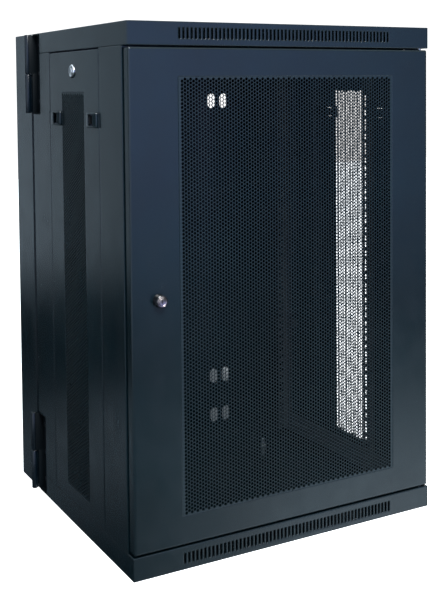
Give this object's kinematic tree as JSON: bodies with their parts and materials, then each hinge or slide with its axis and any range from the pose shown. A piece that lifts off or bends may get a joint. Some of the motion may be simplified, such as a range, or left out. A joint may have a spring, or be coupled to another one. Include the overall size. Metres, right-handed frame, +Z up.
{
  "type": "wall-mount server rack cabinet",
  "caption": "Swing-out wall-mount rack cabinet with a perforated locking front door, lift-off vented side panels, square-hole rails and a hinged wall frame.",
  "frame": {"origin": "on the floor plane, under the middle of the 600 by 550 mm case, on the underside of the bottom cover", "axes": "+Z up, -Y towards the front door, +Y towards the wall, +X to the right seen from the front"},
  "size_m": [0.6173, 0.5636, 0.89],
  "materials": {
    "black_powder_coat": "satin fine-texture powder coat",
    "black_mesh_coat": "satin powder coat on perforated sheet",
    "rail_black_coat": "matt black coat",
    "black_plastic": "moulded",
    "lock_chrome": "polished",
    "zinc_steel": "zinc plated",
    "hinge_black_steel": "satin black"
  },
  "bodies": {
    "wall": {"wall_frame": "black_powder_coat", "wall_frame_flange": "black_powder_coat", "wall_cable_cover_lower": "black_powder_coat", "wall_cable_cover_upper": "black_powder_coat", "hinge_wall_leaf_lower": "hinge_black_steel", "hinge_wall_leaf_upper": "hinge_black_steel"},
    "case": {"top_cover": "black_powder_coat", "bottom_cover": "black_powder_coat", "top_cable_cover": "black_powder_coat", "bottom_cable_cover": "black_powder_coat", "front_post_left": "black_powder_coat", "front_post_right": "black_powder_coat", "rear_post_left": "black_powder_coat", "rear_post_right": "black_powder_coat", "hinge_pocket_lower": "hinge_black_steel", "hinge_pocket_upper": "hinge_black_steel", "hinge_case_leaf_lower": "hinge_black_steel", "hinge_case_leaf_upper": "hinge_black_steel", "rail_beam_left_lower": "rail_black_coat", "rail_beam_left_upper": "rail_black_coat", "rail_beam_right_lower": "rail_black_coat", "rail_beam_right_upper": "rail_black_coat", "front_rail_left": "rail_black_coat", "front_rail_right": "rail_black_coat", "rear_rail_left": "rail_black_coat", "rear_rail_right": "rail_black_coat", "earth_stud": "zinc_steel"},
    "front_door": {"front_door": "black_powder_coat", "door_mesh": "black_mesh_coat", "door_stiffener_left": "black_powder_coat", "door_stiffener_right": "black_powder_coat", "door_hinge_pin_lower": "zinc_steel", "door_hinge_pin_upper": "zinc_steel", "door_lock_body": "black_plastic"},
    "door_lock": {"door_lock_plug": "lock_chrome", "door_lock_cam": "zinc_steel"},
    "swing_latch_lower": {"swing_latch_lower": "black_plastic"},
    "swing_latch_upper": {"swing_latch_upper": "black_plastic"},
    "left_panel": {"left_side_panel": "black_powder_coat", "left_side_grille": "black_mesh_coat", "left_lock_body": "lock_chrome", "left_front_latch_bezel": "black_plastic", "left_rear_latch_bezel": "black_plastic"},
    "left_lock": {"left_lock_plug": "lock_chrome", "left_lock_cam": "zinc_steel"},
    "left_front_latch": {"left_front_latch_slide": "black_plastic"},
    "left_rear_latch": {"left_rear_latch_slide": "black_plastic"},
    "right_panel": {"right_side_panel": "black_powder_coat", "right_side_grille": "black_mesh_coat", "right_lock_body": "lock_chrome", "right_front_latch_bezel": "black_plastic", "right_rear_latch_bezel": "black_plastic"},
    "right_lock": {"right_lock_plug": "lock_chrome", "right_lock_cam": "zinc_steel"},
    "right_front_latch": {"right_front_latch_slide": "black_plastic"},
    "right_rear_latch": {"right_rear_latch_slide": "black_plastic"}
  },
  "joints": [
    {"name": "case_swing", "type": "hinge", "parent": "wall", "child": "case", "pos_m": [-0.307, 0.181, 0.445], "axis": [0, 0, -1], "range_deg": [0, 90]},
    {"name": "front_door_swing", "type": "hinge", "parent": "case", "child": "front_door", "pos_m": [0.29, -0.263, 0.445], "axis": [0, 0, 1], "range_deg": [0, 105]},
    {"name": "door_lock_turn", "type": "hinge", "parent": "front_door", "child": "door_lock", "pos_m": [-0.2502, -0.275, 0.4465], "axis": [0, 1, 0], "range_deg": [0, 90]},
    {"name": "swing_latch_lower_turn", "type": "hinge", "parent": "case", "child": "swing_latch_lower", "pos_m": [0.285, 0.1715, 0.26], "axis": [0, 1, 0], "range_deg": [0, 90]},
    {"name": "swing_latch_upper_turn", "type": "hinge", "parent": "case", "child": "swing_latch_upper", "pos_m": [0.285, 0.1715, 0.63], "axis": [0, 1, 0], "range_deg": [0, 90]},
    {"name": "left_panel_pull", "type": "slide", "parent": "case", "child": "left_panel", "axis": [-1, 0, 0], "range_m": [0, 0.08]},
    {"name": "left_lock_turn", "type": "hinge", "parent": "left_panel", "child": "left_lock", "pos_m": [-0.3, -0.038, 0.815], "axis": [-1, 0, 0], "range_deg": [0, 90]},
    {"name": "left_front_latch_slide", "type": "slide", "parent": "left_panel", "child": "left_front_latch", "axis": [0, -1, 0], "range_m": [0, 0.008]},
    {"name": "left_rear_latch_slide", "type": "slide", "parent": "left_panel", "child": "left_rear_latch", "axis": [0, 1, 0], "range_m": [0, 0.008]},
    {"name": "right_panel_pull", "type": "slide", "parent": "case", "child": "right_panel", "axis": [1, 0, 0], "range_m": [0, 0.08]},
    {"name": "right_lock_turn", "type": "hinge", "parent": "right_panel", "child": "right_lock", "pos_m": [0.3, -0.038, 0.815], "axis": [-1, 0, 0], "range_deg": [0, 90]},
    {"name": "right_front_latch_slide", "type": "slide", "parent": "right_panel", "child": "right_front_latch", "axis": [0, -1, 0], "range_m": [0, 0.008]},
    {"name": "right_rear_latch_slide", "type": "slide", "parent": "right_panel", "child": "right_rear_latch", "axis": [0, 1, 0], "range_m": [0, 0.008]}
  ]
}
